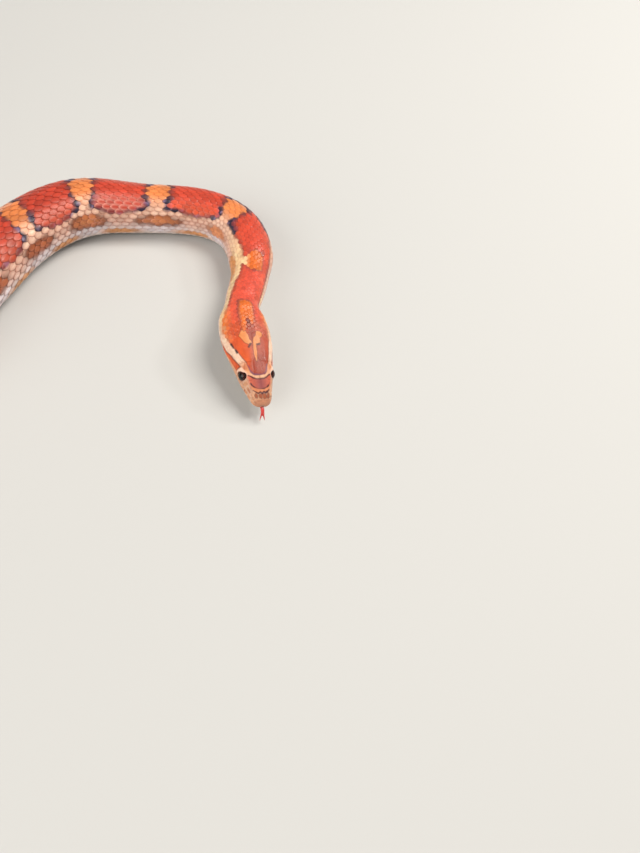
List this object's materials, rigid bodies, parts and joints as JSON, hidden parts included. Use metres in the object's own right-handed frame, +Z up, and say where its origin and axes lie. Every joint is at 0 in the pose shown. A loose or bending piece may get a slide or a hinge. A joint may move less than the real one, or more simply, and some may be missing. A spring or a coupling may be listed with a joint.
{
  "type": "corn snake",
  "caption": "Life-size corn snake lying in loose loops on the floor, head forward with forked tongue out, belly scutes flat on the ground.",
  "frame": {"origin": "centre of the bounding box in plan, on the floor under the belly", "axes": "+X to the viewer's right and along the length of the loops, +Y away from the viewer, +Z up"},
  "size_m": [0.6016, 0.2046, 0.0229],
  "materials": {
    "head_shields": "smooth horny shields, orange-red crown with pale and dark marks",
    "belly_plates": "smooth pale plates",
    "body_scales": "small glossy overlapping scales, red-orange saddles on peach and cream",
    "eye": "wet clear spectacle over a dark pupil",
    "tongue": "moist red"
  },
  "bodies": {
    "root": {"head": "head_shields", "lower_jaw": "belly_plates", "eye_left": "eye", "eye_right": "eye", "tongue": "tongue", "neck": "body_scales", "body_1": "body_scales", "body_2": "body_scales", "body_3": "body_scales", "body_4": "body_scales", "body_5": "body_scales", "body_6": "body_scales", "body_7": "body_scales", "body_8": "body_scales", "body_9": "body_scales", "body_10": "body_scales", "body_11": "body_scales", "body_12": "body_scales", "body_13": "body_scales", "body_14": "body_scales", "tail_1": "body_scales", "tail_2": "body_scales", "tail_3": "body_scales"}
  },
  "joints": []
}
